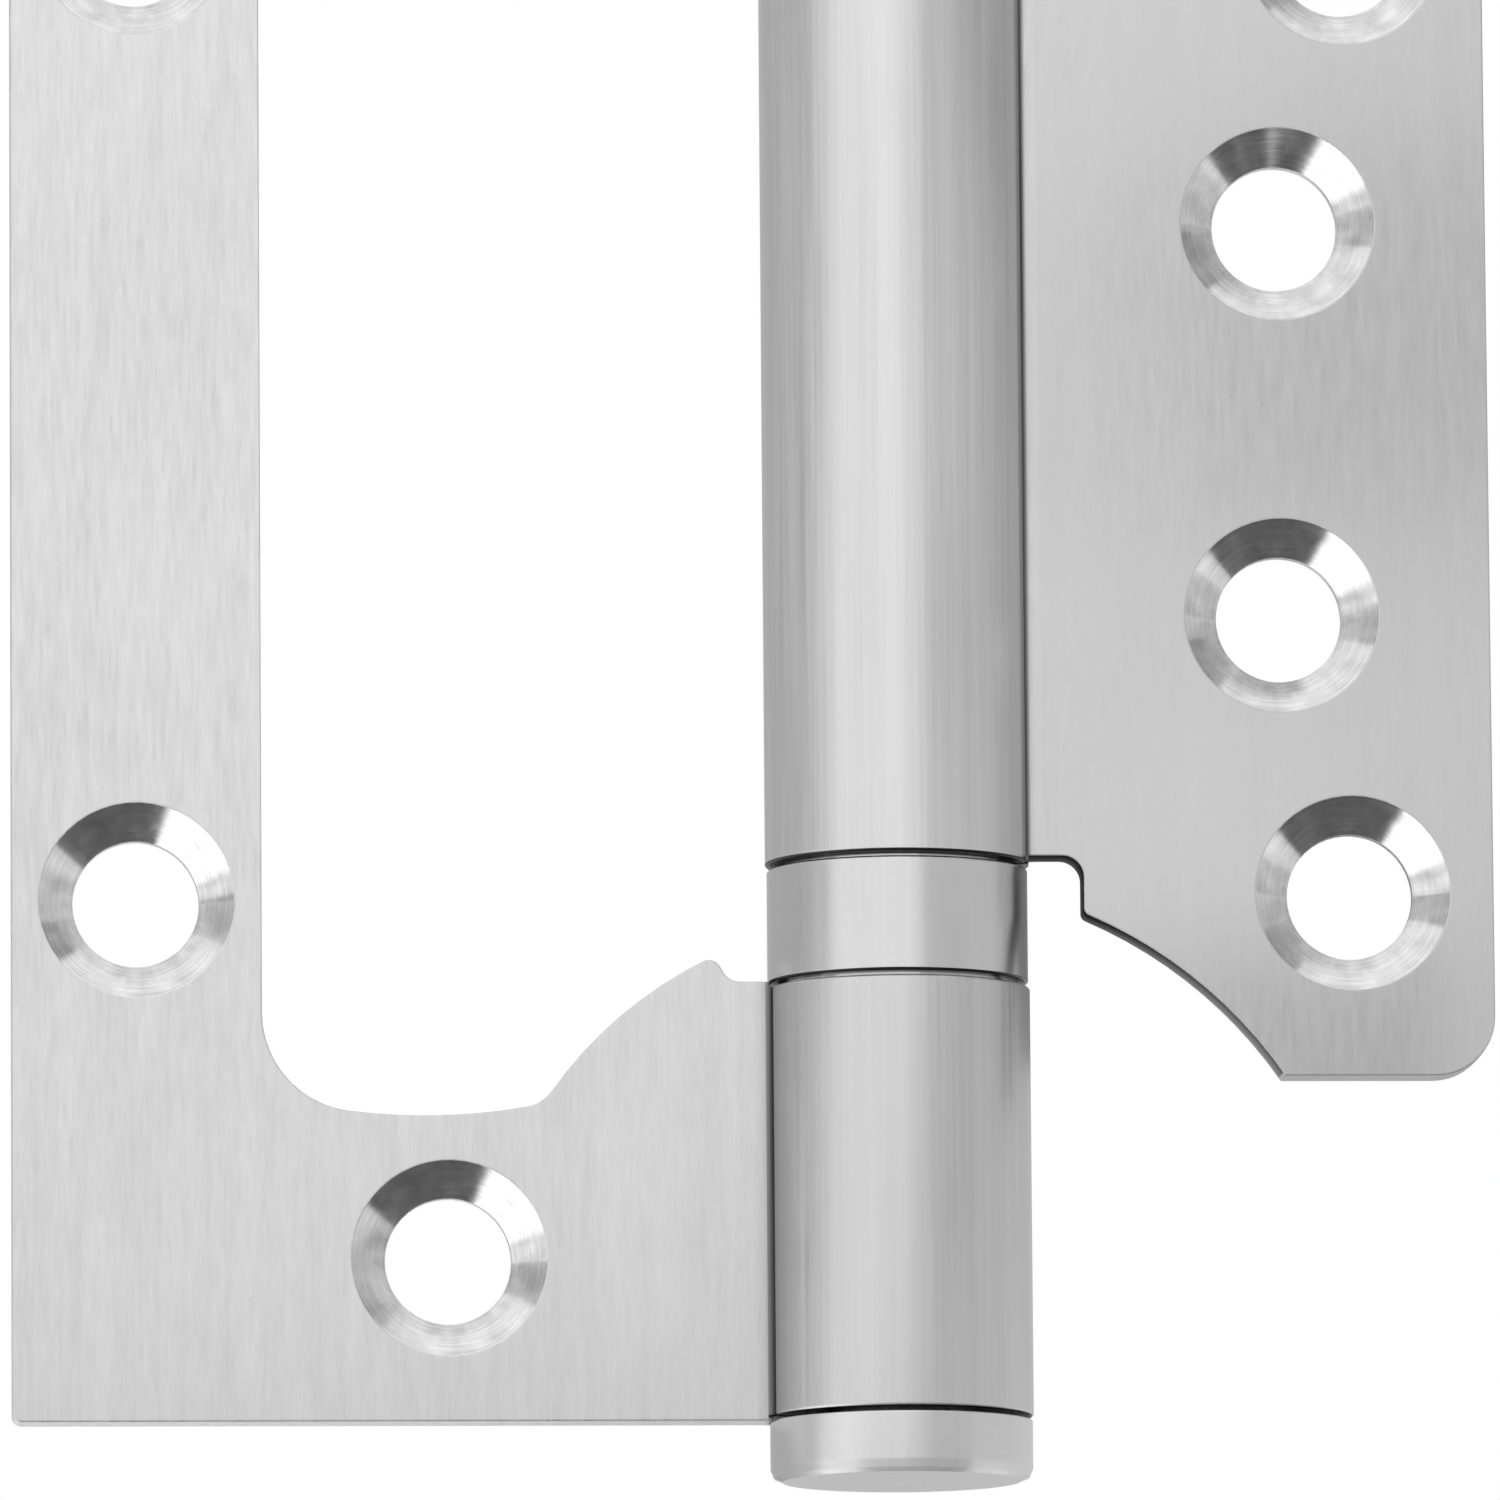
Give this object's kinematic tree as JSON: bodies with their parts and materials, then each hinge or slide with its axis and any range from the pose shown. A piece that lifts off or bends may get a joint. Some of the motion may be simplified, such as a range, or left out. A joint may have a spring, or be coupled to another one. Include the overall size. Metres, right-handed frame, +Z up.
{
  "type": "non-mortise hinge",
  "caption": "Flush door hinge shown open flat: a small leaf folds into the window of a larger C-shaped leaf, on a capped pin with thrust ball bearings between the rolled knuckles.",
  "frame": {"origin": "on the pin axis at mid-height", "axes": "+Z up the pin, +X from the pin to the door leaf, -Y the front that the screws go in from, with both leaves open flat in the XZ plane"},
  "size_m": [0.075, 0.0134, 0.108],
  "materials": {
    "frame_leaf_steel": "stainless steel, brushed upright, with polished countersinks",
    "door_leaf_steel": "stainless steel, brushed upright, with polished countersinks",
    "pin_steel": "stainless steel, ground",
    "cap_steel": "stainless steel, turned and satin polished",
    "shell_steel": "stainless steel, satin polished round the barrel",
    "race_steel": "hardened steel, ground",
    "ball_steel": "polished bearing steel",
    "cage_plastic": "natural nylon, moulded"
  },
  "bodies": {
    "frame": {"frame_leaf": "frame_leaf_steel", "hinge_pin": "pin_steel", "bottom_cap": "cap_steel", "top_cap": "cap_steel", "lower_bearing_shell": "shell_steel", "lower_bearing_lower_race": "race_steel", "upper_bearing_shell": "shell_steel", "upper_bearing_upper_race": "race_steel"},
    "door": {"door_leaf": "door_leaf_steel", "lower_bearing_upper_race": "race_steel", "upper_bearing_lower_race": "race_steel"},
    "lower_balls": {"lower_bearing_cage": "cage_plastic", "lower_bearing_ball_1": "ball_steel", "lower_bearing_ball_2": "ball_steel", "lower_bearing_ball_3": "ball_steel", "lower_bearing_ball_4": "ball_steel", "lower_bearing_ball_5": "ball_steel", "lower_bearing_ball_6": "ball_steel", "lower_bearing_ball_7": "ball_steel", "lower_bearing_ball_8": "ball_steel"},
    "upper_balls": {"upper_bearing_cage": "cage_plastic", "upper_bearing_ball_1": "ball_steel", "upper_bearing_ball_2": "ball_steel", "upper_bearing_ball_3": "ball_steel", "upper_bearing_ball_4": "ball_steel", "upper_bearing_ball_5": "ball_steel", "upper_bearing_ball_6": "ball_steel", "upper_bearing_ball_7": "ball_steel", "upper_bearing_ball_8": "ball_steel"}
  },
  "joints": [
    {"name": "leaf_hinge", "type": "hinge", "parent": "frame", "child": "door", "pos_m": [0, 0, 0], "axis": [0, 0, 1], "continuous": true},
    {"name": "lower_ball_orbit", "type": "hinge", "parent": "frame", "child": "lower_balls", "pos_m": [0, 0, -0.02588], "axis": [0, 0, 1], "continuous": true},
    {"name": "upper_ball_orbit", "type": "hinge", "parent": "frame", "child": "upper_balls", "pos_m": [0, 0, 0.02588], "axis": [0, 0, 1], "continuous": true}
  ],
  "couplings": [
    {"joint": "lower_ball_orbit", "follows": "leaf_hinge", "ratio": 0.5},
    {"joint": "upper_ball_orbit", "follows": "leaf_hinge", "ratio": 0.5}
  ]
}
